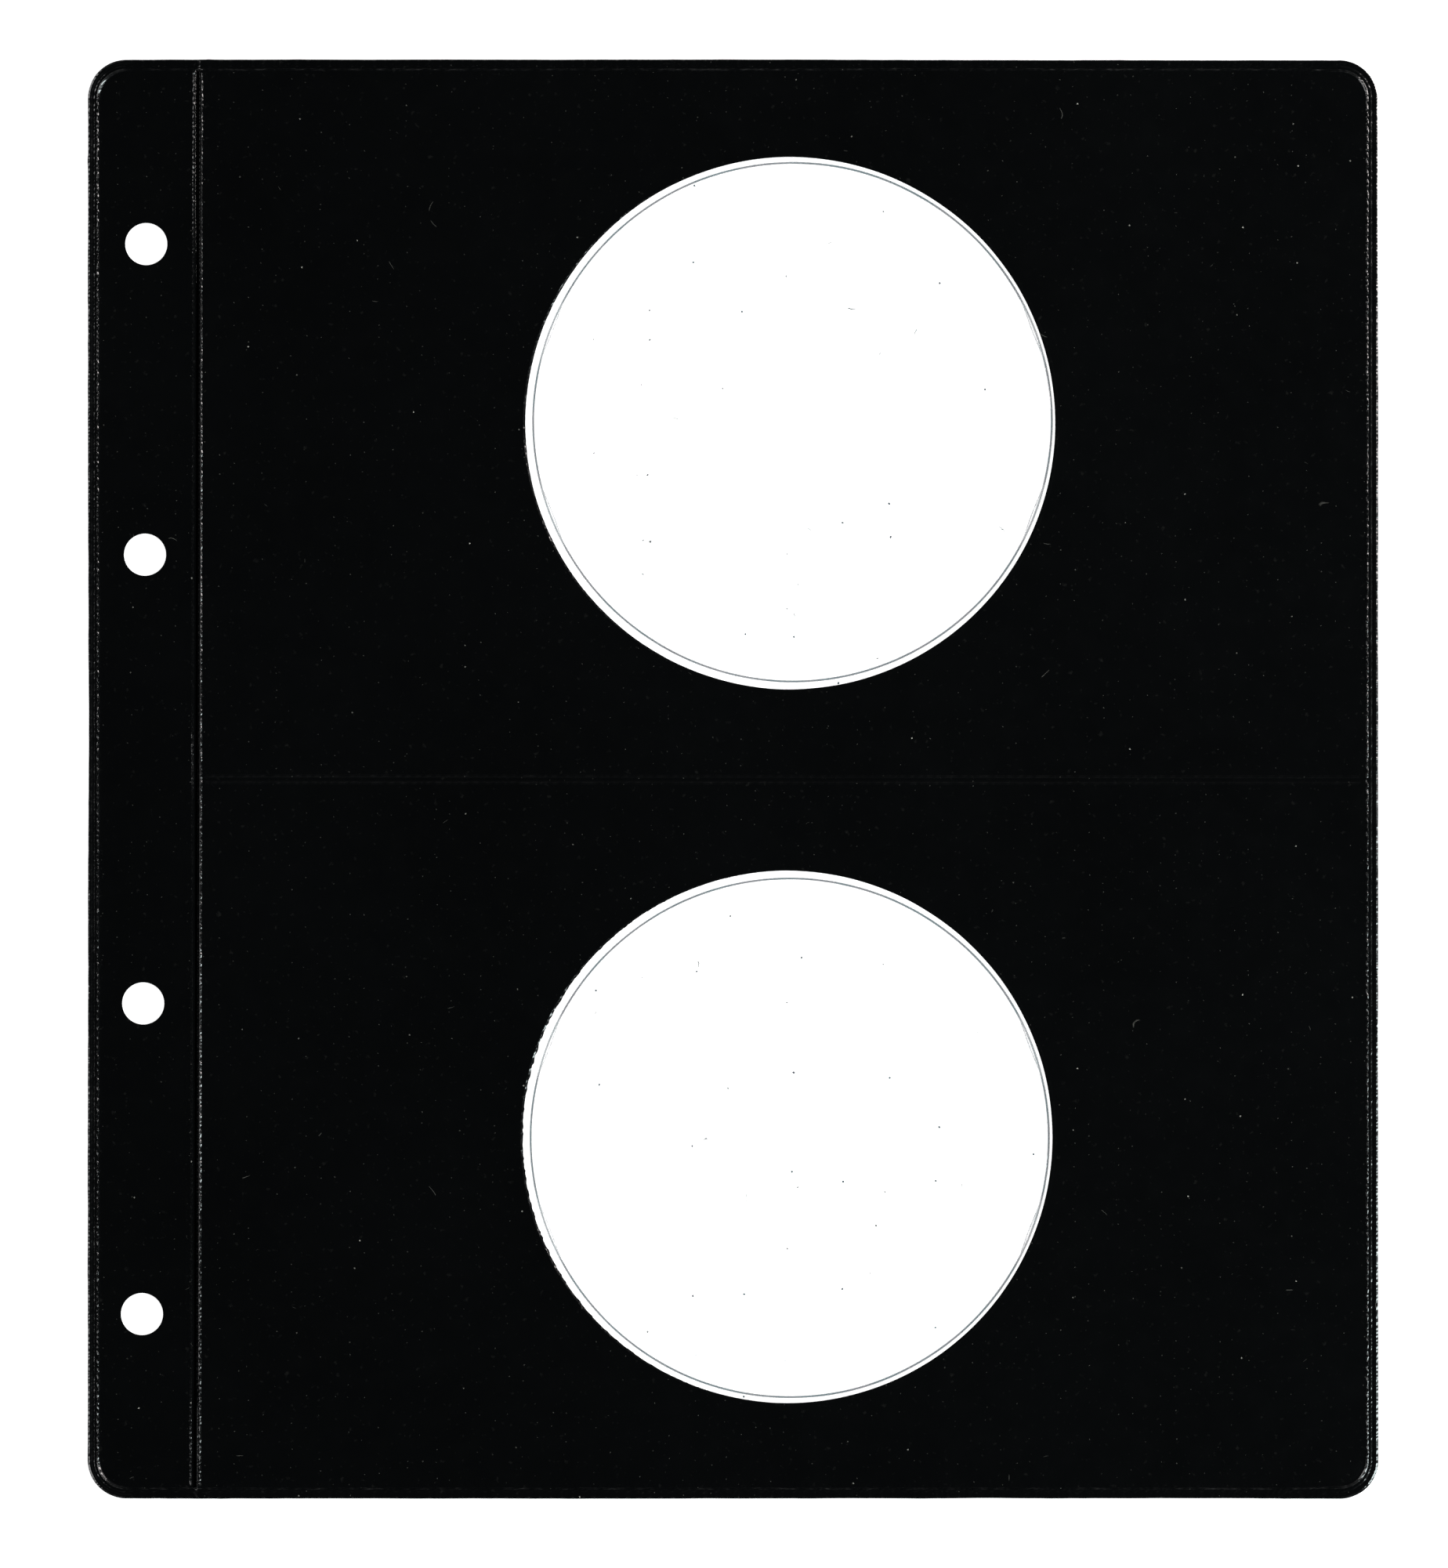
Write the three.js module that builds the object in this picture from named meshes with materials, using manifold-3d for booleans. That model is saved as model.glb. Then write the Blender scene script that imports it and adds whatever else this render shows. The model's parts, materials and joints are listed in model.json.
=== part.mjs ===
import * as THREE from "three";
import { mergeVertices } from "three/addons/utils/BufferGeometryUtils.js";
import Module from "manifold-3d";

// A coin album page for a four-ring binder: a welded sandwich of two black sheets with round windows and clear
// films behind them, which make two coin pockets beside a punched binding strip.
// Millimetres. The page lies on its back: X runs from the binding strip to the free edge, Y runs up the page
// and Z points out of its face. The origin is under the middle of the page, at the outside of its back sheet.

// The page and its layers
const pageWidth = 187;
const pageHeight = 208.5;
const cornerRadius = 5.6;
const sheetThickness = 0.3;
const filmThickness = 0.2;

// The four ring holes, at the pitches of the small four-ring mechanism
const ringHoleDiameter = 6.1;
const ringRowInset = 8.2;
const ringOuterPitch = 45;
const ringMiddlePitch = 65;

// The round windows and the coin seat, a crease pressed into the front film inside each of them
const windowDiameter = 77.1;
const backWindowShift = 0.35;
const seatDiameter = 75.1;
const seatShift = 0.5;
const seatSpread = 0.15;
const creaseWidth = 0.3;
const creaseDepth = 0.1;

// The row of ring holes and the column of windows lean to the right, as a share of the height up the page
const punchLean = 0.004;
const windowDrop = 0.14;

// The welds: a pressed groove with a bead of squeezed-out material beside it
const weldGrooveDepth = 0.12;
const beadWidth = 0.35;
const beadHeight = 0.1;
const edgeLandWidth = 0.35;
const borderGrooveWidth = 0.9;
const middleGrooveWidth = 0.75;
const stripSeamWidth = 1.3;

// The strip weld, where the page folds: a V groove with its axis just above the back sheet
const stripWeldInset = 15.85;
const foldGap = 0.3;
const foldAxisRise = 0.1;
const stripFlankRun = 0.2;
const panelFlankRun = 0.35;

// The pocket mouths in the back sheet, each shut by a flap that hangs on its side towards the binding strip
const flapWidth = 14;
const flapEndMargin = 8;
const flapCornerRadius = 4;
const flapRootInset = 0.8;
const mouthToFilm = 1.5;

// Room between pieces that lie side by side
const sideGap = 0.3;

// Fineness of the round forms
const windowSteps = 96;
const ringHoleSteps = 32;
const cornerSteps = 8;

// Levels through the page, from the table up
const backTop = sheetThickness;
const backFilmTop = backTop + filmThickness;
const frontFilmTop = backFilmTop + filmThickness;
const faceLevel = frontFilmTop + sheetThickness;
const stripLevel = backTop + sheetThickness;
const foldAxisLevel = backTop + foldAxisRise;
const farAbove = faceLevel + 10;
const farBelow = -10;

// Places across the page
const rightEdge = pageWidth / 2;
const topEdge = pageHeight / 2;
const foldX = stripWeldInset - rightEdge;
const borderWeldWidth = edgeLandWidth + borderGrooveWidth + beadWidth;
const middleWeldHalf = middleGrooveWidth / 2 + beadWidth;
const panelBeadX = foldX + foldGap / 2 + panelFlankRun;
const stripBeadX = foldX - foldGap / 2 - stripFlankRun - beadWidth;
const panelSeamEnd = foldX + foldGap / 2 + stripSeamWidth;
const filmLeft = panelSeamEnd + sideGap;
const windowX = (foldX + rightEdge) / 2;
const pocketTop = topEdge - borderWeldWidth;
const pocketCentre = (pocketTop + middleWeldHalf) / 2;
const flapRoot = panelSeamEnd + flapRootInset;
const flapHeight = pocketTop - middleWeldHalf - 2 * flapEndMargin;

const wasm = await Module();
wasm.setup();

function toSolid(geometry) {
  const bare = geometry.clone();
  bare.deleteAttribute("normal");
  bare.deleteAttribute("uv");
  const merged = mergeVertices(bare, 1e-5);
  const vertProperties = new Float32Array(merged.attributes.position.array);
  const triVerts = new Uint32Array(merged.index.array);
  return new wasm.Manifold(new wasm.Mesh({ numProp: 3, vertProperties, triVerts }));
}

function toGeometry(solid) {
  const { vertProperties, triVerts } = solid.getMesh();
  const geometry = new THREE.BufferGeometry();
  geometry.setAttribute("position", new THREE.BufferAttribute(vertProperties, 3));
  geometry.setIndex(new THREE.BufferAttribute(triVerts, 1));
  geometry.computeVertexNormals();
  return geometry;
}

// A flat outline raised from one level to another
function raise(shape, bottom, top, steps = cornerSteps) {
  const geometry = new THREE.ExtrudeGeometry(shape, {
    depth: top - bottom,
    bevelEnabled: false,
    curveSegments: steps,
  });
  return toSolid(geometry.translate(0, 0, bottom));
}

function block(left, right, low, high, bottom, top) {
  const geometry = new THREE.BoxGeometry(right - left, high - low, top - bottom);
  return toSolid(geometry.translate((left + right) / 2, (low + high) / 2, (bottom + top) / 2));
}

function cylinder(diameter, [x, y], bottom, top, steps) {
  const geometry = new THREE.CylinderGeometry(diameter / 2, diameter / 2, top - bottom, steps);
  geometry.rotateX(Math.PI / 2);
  return toSolid(geometry.translate(x, y, (bottom + top) / 2));
}

// An outline in X and Z drawn along the whole height of the page
function profileAlongPage(points) {
  const shape = new THREE.Shape(points.map(([x, z]) => new THREE.Vector2(x, z)));
  const geometry = new THREE.ExtrudeGeometry(shape, { depth: 2 * pageHeight, bevelEnabled: false });
  geometry.rotateX(Math.PI / 2);
  return toSolid(geometry.translate(0, pageHeight, 0));
}

// The page's outline, drawn in by an inset that is the same all round
function outline(inset, Type = THREE.Shape) {
  const x = rightEdge - inset;
  const y = topEdge - inset;
  const r = Math.max(cornerRadius - inset, 0.1);
  const path = new Type();
  path.moveTo(x, y - r);
  path.absarc(x - r, y - r, r, 0, Math.PI / 2, false);
  path.absarc(r - x, y - r, r, Math.PI / 2, Math.PI, false);
  path.absarc(r - x, r - y, r, Math.PI, 1.5 * Math.PI, false);
  path.absarc(x - r, r - y, r, 1.5 * Math.PI, 2 * Math.PI, false);
  path.closePath();
  return path;
}

function borderBand(outerInset, innerInset, bottom, top) {
  const shape = outline(outerInset);
  shape.holes.push(outline(innerInset, THREE.Path));
  return raise(shape, bottom, top);
}

function leaning(x, y) {
  return [x + punchLean * y, y];
}

function stripSide() {
  const end = foldX - foldGap / 2;
  return profileAlongPage([
    [-pageWidth, farBelow],
    [end, farBelow],
    [end, foldAxisLevel],
    [end - stripFlankRun, stripLevel],
    [end - stripFlankRun, farAbove],
    [-pageWidth, farAbove],
  ]);
}

function panelSide() {
  const end = foldX + foldGap / 2;
  return profileAlongPage([
    [end, farBelow],
    [pageWidth, farBelow],
    [pageWidth, farAbove],
    [end + panelFlankRun, farAbove],
    [end + panelFlankRun, faceLevel],
    [end, foldAxisLevel],
  ]);
}

// A whole-page sheet with the border weld pressed into its upper face
function embossedSheet(bottom, top) {
  const grooveInner = edgeLandWidth + borderGrooveWidth;
  const sheet = raise(outline(0), bottom, top);
  const groove = borderBand(edgeLandWidth, grooveInner, top - weldGrooveDepth, farAbove);
  const bead = borderBand(grooveInner, grooveInner + beadWidth, top - weldGrooveDepth, top + beadHeight);
  return sheet.subtract(groove).add(bead);
}

function verticalBead(left, level) {
  const end = topEdge - borderWeldWidth + beadWidth / 2;
  return block(left, left + beadWidth, -end, end, level - weldGrooveDepth, level + beadHeight);
}

function ringHoles() {
  const inner = ringMiddlePitch / 2;
  const outer = inner + ringOuterPitch;
  return [outer, inner, -inner, -outer].map((y) =>
    cylinder(ringHoleDiameter, leaning(ringRowInset - rightEdge, y), farBelow, farAbove, ringHoleSteps)
  );
}

function windows(shift) {
  return [pocketCentre, -pocketCentre].map((y) =>
    cylinder(windowDiameter, leaning(windowX + shift, y - windowDrop), farBelow, farAbove, windowSteps)
  );
}

function without(solid, cutters) {
  return cutters.reduce((rest, cutter) => rest.subtract(cutter), solid);
}

// The middle weld across the panel, between the two pockets
function embossMiddleWeld(sheet) {
  const left = panelBeadX + beadWidth / 2;
  const right = rightEdge - borderWeldWidth + beadWidth / 2;
  const half = middleGrooveWidth / 2;
  const floor = faceLevel - weldGrooveDepth;
  const crest = faceLevel + beadHeight;
  return sheet
    .subtract(block(left, right, -half, half, floor, farAbove))
    .add(block(left, right, half, half + beadWidth, floor, crest))
    .add(block(left, right, -half - beadWidth, -half, floor, crest));
}

// The melted seam of the strip weld, which joins the front sheet to the back sheet beside the ends of the films
function stripWeldSeam() {
  return block(foldX, panelSeamEnd, -topEdge, topEdge, backTop, frontFilmTop).intersect(panelSide());
}

function frontStripSheet() {
  const sheet = embossedSheet(backTop, stripLevel).intersect(stripSide());
  return without(sheet.add(verticalBead(stripBeadX, stripLevel)), ringHoles());
}

function frontPanelSheet() {
  const sheet = embossedSheet(frontFilmTop, faceLevel).intersect(panelSide());
  const beaded = sheet.add(verticalBead(panelBeadX, faceLevel));
  return without(embossMiddleWeld(beaded), windows(0));
}

function backStripSheet() {
  return without(raise(outline(0), 0, backTop).intersect(stripSide()), ringHoles());
}

// A flap's outline, with its free corners rounded, grown by a margin for the mouth that it shuts
function flapOutline(centre, margin) {
  const left = flapRoot - margin;
  const right = flapRoot + flapWidth + margin;
  const half = flapHeight / 2 + margin;
  const r = flapCornerRadius + margin;
  const shape = new THREE.Shape();
  shape.moveTo(left, centre - half);
  shape.lineTo(right - r, centre - half);
  shape.absarc(right - r, centre - half + r, r, -Math.PI / 2, 0, false);
  shape.lineTo(right, centre + half - r);
  shape.absarc(right - r, centre + half - r, r, 0, Math.PI / 2, false);
  shape.lineTo(left, centre + half);
  shape.closePath();
  return shape;
}

function backPanelSheet() {
  const sheet = raise(outline(0), 0, backTop).intersect(panelSide());
  const mouths = [pocketCentre, -pocketCentre].map((y) =>
    raise(flapOutline(y, sideGap), farBelow, farAbove)
  );
  return without(sheet, [...windows(backWindowShift), ...mouths]);
}

function pocketFlap(side) {
  return raise(flapOutline(side * pocketCentre, 0), 0, backTop);
}

// A film of one pocket, held by its edges in the border weld and the middle weld, side being 1 for the upper
// pocket and -1 for the lower
function film(side, left, bottom) {
  const low = sideGap / 2;
  const whole = raise(outline(0), bottom, bottom + filmThickness);
  const span = side > 0 ? [low, pageHeight] : [-pageHeight, -low];
  return whole.intersect(block(left, pageWidth, ...span, farBelow, farAbove));
}

function seatCrease(side) {
  const [x, y] = leaning(windowX + seatShift, side * (pocketCentre + seatSpread) - windowDrop);
  const floor = frontFilmTop - creaseDepth;
  const outer = cylinder(seatDiameter + creaseWidth, [x, y], floor, farAbove, windowSteps);
  return outer.subtract(cylinder(seatDiameter - creaseWidth, [x, y], farBelow, farAbove, windowSteps));
}

function frontFilm(side) {
  return film(side, filmLeft, backFilmTop).subtract(seatCrease(side));
}

function backFilm(side) {
  return film(side, flapRoot + flapWidth + sideGap + mouthToFilm, backTop);
}

const blackVinyl = new THREE.MeshStandardMaterial({ color: 0x08090a, roughness: 0.3, metalness: 0 });
const clearFilm = new THREE.MeshStandardMaterial({
  color: 0xf4f8f8,
  roughness: 0.08,
  metalness: 0,
  transparent: true,
  opacity: 0.2,
});

function piece(name, solid, material) {
  const mesh = new THREE.Mesh(toGeometry(solid), material);
  mesh.name = name;
  return mesh;
}

const group = new THREE.Group();
group.add(piece("front_strip_sheet", frontStripSheet(), blackVinyl));
group.add(piece("front_panel_sheet", frontPanelSheet(), blackVinyl));
group.add(piece("strip_weld_seam", stripWeldSeam(), blackVinyl));
group.add(piece("back_strip_sheet", backStripSheet(), blackVinyl));
group.add(piece("back_panel_sheet", backPanelSheet(), blackVinyl));
for (const [place, side] of [["upper", 1], ["lower", -1]]) {
  group.add(piece(`${place}_front_film`, frontFilm(side), clearFilm));
  group.add(piece(`${place}_back_film`, backFilm(side), clearFilm));
  group.add(piece(`${place}_pocket_flap`, pocketFlap(side), blackVinyl));
}

export default group;
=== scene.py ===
"""A coin album page of welded black vinyl, lying on a pale table and seen from straight above."""

import json
import math

import bpy
import numpy as np
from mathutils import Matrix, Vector
from mathutils.geometry import delaunay_2d_cdt


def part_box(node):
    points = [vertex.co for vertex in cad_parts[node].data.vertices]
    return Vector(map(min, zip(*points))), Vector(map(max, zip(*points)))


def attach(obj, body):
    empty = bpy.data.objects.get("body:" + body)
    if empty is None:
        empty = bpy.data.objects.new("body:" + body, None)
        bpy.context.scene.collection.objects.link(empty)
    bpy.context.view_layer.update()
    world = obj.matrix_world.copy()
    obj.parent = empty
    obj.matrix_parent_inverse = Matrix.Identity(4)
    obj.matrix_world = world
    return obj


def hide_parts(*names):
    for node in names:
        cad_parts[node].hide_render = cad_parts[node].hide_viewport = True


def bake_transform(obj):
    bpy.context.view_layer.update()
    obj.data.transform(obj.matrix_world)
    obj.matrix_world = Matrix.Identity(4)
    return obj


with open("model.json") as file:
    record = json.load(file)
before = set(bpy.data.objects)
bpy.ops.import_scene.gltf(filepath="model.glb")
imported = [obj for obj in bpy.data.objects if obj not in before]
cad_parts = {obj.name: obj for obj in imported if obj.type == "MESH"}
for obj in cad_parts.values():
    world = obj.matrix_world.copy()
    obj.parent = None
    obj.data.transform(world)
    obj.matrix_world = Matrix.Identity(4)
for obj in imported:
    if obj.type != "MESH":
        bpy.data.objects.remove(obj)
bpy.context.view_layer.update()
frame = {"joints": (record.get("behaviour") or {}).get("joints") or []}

# Lengths below are in millimetres, in the frame of the page: X from the binding strip to the free edge, Y up
# the page and Z out of its face. The meshes are made in metres.
MM = 0.001


def corners(node):
    low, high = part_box(node)
    return np.array(low) / MM, np.array(high) / MM


def joint_place(name):
    joint = next(j for j in frame["joints"] if j["name"] == name)
    return np.array(joint["pos_m"]) / MM


# Stretches are given by their start, or by their middle for swells, their length and often a height

# Beads of squeezed-out vinyl beside the welds
BEAD_HEIGHT = 0.1
BEAD_WIDTH = 0.34
CREST_LEVEL = 0.81
CREST_SWELLING = 0.1
CREST_MARKS = 0.17
LOWEST_CREST = 0.1
RIPPLE_PERIOD = 1.3
RIPPLE_SHIFT = 2.6
RIPPLE_DEPTH = 0.9
RIPPLE_DEPTH_CHANGE = 0.4
RIPPLE_JITTER = 0.45
RIPPLE_REACH = 0.045
BEAD_DRIFT = 0.03

# The border weld, measured inwards from the page's edge
BEAD_INSET = 1.5
FREE_EDGE_SHIFT = (80, 7, 0.11)
CORNER_BLEND = 2.0
CORNER_RUN = 0.3
CORNER_FALL = 1.7
CORNER_RECOVERY = 0.8
BORDER_GROOVE = (0.42, 1.22)
GROOVE_DEPTH = 0.1
GROOVE_SHOULDER = 0.4
RIDGE_WIDTH = 0.27
RIDGE_HEIGHT = 0.034
RIDGE_GRAIN = 0.35
RIDGE_SHARES = (0.42, 0.1)
RIM_BEAD_INSET = 0.38
RIM_BEAD_WIDTH = 0.5
RIM_BEAD_HEIGHT = 0.038
RIM_BEAD_STRAY = 0.6
FREE_RIM_SHARE = 0.6
EDGE_ROUND = 0.42
EDGE_DROP = 0.135

# The strip weld, in which the page folds, measured across from the line of the fold
FOLD_LEAN = 0.0021
WEB_HALF = 0.15
WEB_LEVEL = 0.37
STRIP_FLANK = 0.08
FLANK_WIDENING = (70, 16, 0.18)
PANEL_FLANK = 0.3
FLANK_NARROWING = 0.2
BORDER_CLIMB = 1.9
CROSSING_WIDTH = 3.4
CROSSING_SHARE = 0.85
STRIP_BEAD_OFFSET = 0.68
STRIP_BEAD_LEAST = 0.62
UPPER_GROWTH, MIDDLE_GROWTH, LOWER_GROWTH = (64, 20, 0.38), (3, 16, 0.3), (86, 8, 0.38)
PANEL_BEAD_OFFSET = 0.6
PANEL_BEAD_LEAN = 0.0014
PANEL_STRENGTH = 1.06
FAR_OFFSET = 1.42
FAR_STRETCH = (32, 20)
FAR_STRENGTH = 0.85
FAR_SHARE, FAR_BREAKS = 0.4, 0.8
FAR_STRAY = 2
LOWER_BEAD_OFFSET = 0.34
LOWER_BEAD_WIDTH = 0.2
LOWER_STRENGTH = 0.6
LOWER_BEAD_STRETCH = (86, 6)

# The weld between the two pockets, measured up from its own line
MIDDLE_SHIFT = -0.03
MIDDLE_LEAN = 0.0006
MIDDLE_DROP = 0.09
MIDDLE_FLANK = (0.1, 0.3)
MIDDLE_BEAD_OFFSET = 0.54
MIDDLE_STRENGTH = 0.9
MIDDLE_BEAD_STRAY = 0.5
MIDDLE_WELD_HALF = 0.75

# The cut edge of the page, which strays inwards from its outline
CUT_REACH = 0.6
CUT_STRAY = 0.04
CUT_WAVE, CUT_GRAIN = 0.04, 0.02
BINDING_CUT, BINDING_HOLLOW = (-45, 12, 0.03), (8, 60, 0.1)
FREE_CUT, TOP_CUT = (60, 35, 0.1), (0, 50, 0.1)
BOTTOM_HOLLOW = (40, 90, 0.05)
NIB_SHARE = 0.95
# Places on the edge where the cut left a nib standing, and how wide it is
NIBS = ((-93.5, 89.5, 2.6), (-74.0, -104.2, 1.9), (-76.0, 104.2, 1.1))

# Windows, ring holes and the coin seats pressed into the front films
SIDES = (1, -1)
PUNCH_LEAN = 0.004
WINDOW_DIAMETER = 77.1
WINDOW_DROP = 0.14
WINDOW_LIP = 0.35
WINDOW_FRAY = {1: 0.04, -1: 0.18}
WINDOW_WAVE = 0.02
LIP_SLOPE = 0.4
LIP_RUN, LIP_RUN_GROWTH = 0.12, 0.25
LIP_GRAIN, LIP_WAVE = 0.15, 0.1
BACK_WINDOW_MARGIN = 0.06
RING_DIAMETER = 6.1
RING_ROW_INSET = 8.2
RING_PITCHES = (77.5, 32.5, -32.5, -77.5)
RING_RIM_DROP, RING_RIM_RUN = 0.02, 0.12
SEAT_DIAMETER = 75.1
SEAT_SHIFT = 0.5
SEAT_SPREAD = 0.15
SEAT_WANDER = 0.03
SEAT_DEPTH = 0.1
SEAT_LINE_WIDTH = 0.44
INNER_LINE_WIDTH = 0.24
# The painted shade of the pressed line is double at some slants from the middle of the seat, in degrees,
# where the side lamps' light is bent in two
PARTING_START, PARTING_END = (12, 4), (26, 4)
PARTING_GAP = (21, 18, 0.4)

# The mouths in the back sheet and their flaps
MOUTH_GAP = 0.3
FLAP_CORNER, SQUARE_CORNER = 4.0, 0.05
FLAP_OVERLAP = 0.05
FLAP_CREASE = (0.6, 0.5, 0.05)
FLAP_TIP, FLAP_TIP_RUN = 0.05, 0.3
FLAP_CLEARANCE = 0.02

# Slight unevenness of the open faces
SHEET_WAVE = (3.0, 4.0, 0.02)
FRONT_FILM_BOW, FRONT_BOW_END = 0.03, (-3.0, 2.5)
BACK_FILM_BOW = 0.02

# The welds' lines on the outside of the back, as shallow grooves
BACK_BORDER_RISE = (0.8, 0.9, 0.05)
BACK_FOLD_RISE, BACK_FOLD_FLANK = 0.12, (0.3, 0.35)
BACK_MIDDLE_RISE, BACK_MIDDLE_WIDTH = 0.04, 0.9
BACK_EDGE_RISE = 0.05

# The page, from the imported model
STRIP_LOW, STRIP_HIGH = corners("front_strip_sheet")
PANEL_HIGH = corners("front_panel_sheet")[1]
SEAM_HIGH = corners("strip_weld_seam")[1]
FILM_LOW, FILM_HIGH = corners("upper_front_film")
BACK_FILM_LOW = corners("upper_back_film")[0]
FLAP_LOW, FLAP_HIGH = corners("upper_pocket_flap")
RIGHT, TOP = PANEL_HIGH[:2]
CORNER_RADIUS = 5.6
FACE = PANEL_HIGH[2] - BEAD_HEIGHT
STRIP_FACE = STRIP_HIGH[2] - BEAD_HEIGHT
SHEET = STRIP_LOW[2]
FRONT_FILM_TOP = FILM_HIGH[2]
FILM_MEETING = FILM_LOW[2]
FOLD_X = joint_place("page_fold")[0]
POCKET_MIDDLE = (FLAP_LOW[1] + FLAP_HIGH[1]) / 2
POCKET_EDGE = 1.6
POCKET_CORNER = 1.0
FILM_END_CORNER = 0.2
WINDOW_X = (FOLD_X + RIGHT) / 2
FLAP_ROOT = FLAP_LOW[0] - MOUTH_GAP

# Random hills: how far apart they lie, and the seed of each
HILLS = {
    "ripple": (2.2, 11),
    "ripple_depth": (9.0, 12),
    "ripple_jitter": (0.5, 13),
    "crest": (16.0, 14),
    "drift": (5.0, 15),
    "lip_grain": (0.5, 21),
    "lip_wave": (7.0, 22),
    "sheet": (11.0, 31),
    "groove_ridge": (0.5, 47),
    "far_breaks": (3.0, 53),
    "cut_wave": (9.0, 71),
    "cut_grain": (1.7, 72),
    "lower_nibs": (0.45, 80),
    "lower_wave": (6.0, 81),
    "upper_nibs": (0.45, 82),
    "upper_wave": (6.0, 83),
    "seat": (9.0, 101),
    "front_film": (14.0, 103),
    "back_film": (14.0, 104),
}
# Each bead and ridge follows a row of the hills of its own, given after its place where it has both
BORDER_BEAD, RIM_BEAD = 42, 44
STRIP_BEAD, PANEL_BEAD, FAR_BEAD, LOWER_BEAD = 56, 57, 58, 59
GROOVE_RIDGES = ((0.72, 45), (1.02, 46))
MIDDLE_BEADS = ((-MIDDLE_BEAD_OFFSET, 66), (MIDDLE_BEAD_OFFSET, 67))

# Fineness of the meshes, along and across the welds and on the open faces
FINE = 0.24
COARSE = 0.8
OPEN = 3.0
PLAIN = 4.0
ROUND_STEP, BACK_STEP, SEAT_STEP = 0.3, 0.5, 0.6
SEAT_CLEAR = 1.2
BORDER_INSETS = (
    0.07, 0.15, 0.23, 0.32, 0.43, 0.58, 0.65, 0.72, 0.79, 0.88, 0.95, 1.02, 1.09, 1.16, 1.86, 2.0, 2.3, 2.66,
)
BEAD_STEPS = (-0.25, -0.17, -0.115, -0.055, 0.0, 0.055, 0.115, 0.17, 0.25)
LIP_INSETS = (0.06, 0.12, 0.2, 0.28, 0.37, 0.6, 1.2)
RING_RIM_INSETS = (0.05, 0.12, 0.5)
STRIP_COLUMNS = (-1.85, -1.05, -0.42, -0.35, -0.29, -0.23, -0.15, 0.15, 0.24, 0.29, 0.34, 0.39, 1.1)
MIDDLE_ROWS = (0.2, 0.34, 0.41, 0.48, 0.54, 0.6, 0.67, 0.74, 0.9)
MIDDLE_STEP = 0.45
SEAT_OFFSETS = (-0.9, -0.6, -0.35, -0.2, -0.12, -0.06, 0.0, 0.06, 0.12, 0.2, 0.4)
BACK_INSETS = (0.08, 0.22, 0.35, 0.5, 0.65, 0.8, 0.95, 1.1, 1.25)
BACK_RIM_INSETS, BACK_RING_INSETS = (0.1, 0.3), (0.2,)
BACK_COLUMNS = (0.1, 0.3, 0.4, 0.5, 0.65, 0.8)
BACK_ROWS = (0.15, 0.3, 0.45, 0.6)
CREASE_COLUMNS = (0.1, 0.2, 0.3, 0.4, 0.5, 0.65, 0.8, 1.0)
FLAP_INSETS = (0.08, 0.2, 0.5)

# The picture that the camera copies
IMAGE_WIDTH, IMAGE_HEIGHT = 1848, 2001
PIXELS_PER_MM = 8.8118
PAGE_MIDDLE_PIXEL = (935.4, 994.2)
CAMERA_HEIGHT = 2000.0
CLIP_START, CLIP_END = 0.1, 20.0


# Random hills and simple profiles


def lattice(x, y, size, seed):
    """Smooth random hills about size across, from -1 to 1."""
    cells = 256
    shift = 4.0 * cells
    table = np.random.default_rng(seed).uniform(-1, 1, (cells, cells))
    u, v = np.asarray(x) / size + shift, np.asarray(y) / size + shift
    i, j = np.floor(u).astype(int), np.floor(v).astype(int)
    fu, fv = u - i, v - j
    fu, fv = fu * fu * (3 - 2 * fu), fv * fv * (3 - 2 * fv)
    i, j, i1, j1 = i % cells, j % cells, (i + 1) % cells, (j + 1) % cells
    low = table[i, j] * (1 - fu) + table[i1, j] * fu
    high = table[i, j1] * (1 - fu) + table[i1, j1] * fu
    return low * (1 - fv) + high * fv


def hills(name, x, y):
    return lattice(x, y, *HILLS[name])


def hills_along(name, along, row=0):
    return hills(name, along, along * 0 + row)


def ramp(distance, run):
    """Rises smoothly from 0 to 1 as the distance goes from 0 to run."""
    t = np.clip(np.asarray(distance) / run, 0, 1)
    return t * t * (3 - 2 * t)


def swell(distance, width):
    """A round-topped ridge of height 1, width wide at its foot."""
    t = np.clip(np.abs(distance) / (width / 2), 0, 1)
    return 0.5 + 0.5 * np.cos(math.pi * t)


def past(place, start, length, height=1):
    """Rises smoothly to a height along a stretch."""
    return height * ramp(place - start, length)


def around(place, middle, length, height=1):
    """A swell round the middle of a stretch."""
    return height * swell(place - middle, length)


def tent(distance, width):
    """A ridge of height 1 with straight flanks, width wide at its foot."""
    return np.clip(1 - np.abs(distance) / (width / 2), 0, 1)


# Places of the windows, the seats and the ring holes. The upper pocket is side 1 and the lower one side -1


def leaning(x, y):
    return np.array([x + PUNCH_LEAN * y, y])


def window_middle(side):
    return leaning(WINDOW_X, side * POCKET_MIDDLE - WINDOW_DROP)


def window_edge(x, y, side):
    """How far outside a window's edge a point lies, and how squarely it lies towards the binding strip,
    where the edge stands in."""
    cx, cy = window_middle(side)
    away = np.hypot(x - cx, y - cy)
    facing = np.clip((cx - x) / away, 0, 1)
    return away - WINDOW_DIAMETER / 2 + WINDOW_LIP * facing, facing


def seat_middle(side):
    return leaning(WINDOW_X + SEAT_SHIFT, side * (POCKET_MIDDLE + SEAT_SPREAD) - WINDOW_DROP)


RING_HOLES = [leaning(RING_ROW_INSET - RIGHT, y) for y in RING_PITCHES]


# Closed outlines, counter-clockwise, each with the direction into the shape at every point


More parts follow.
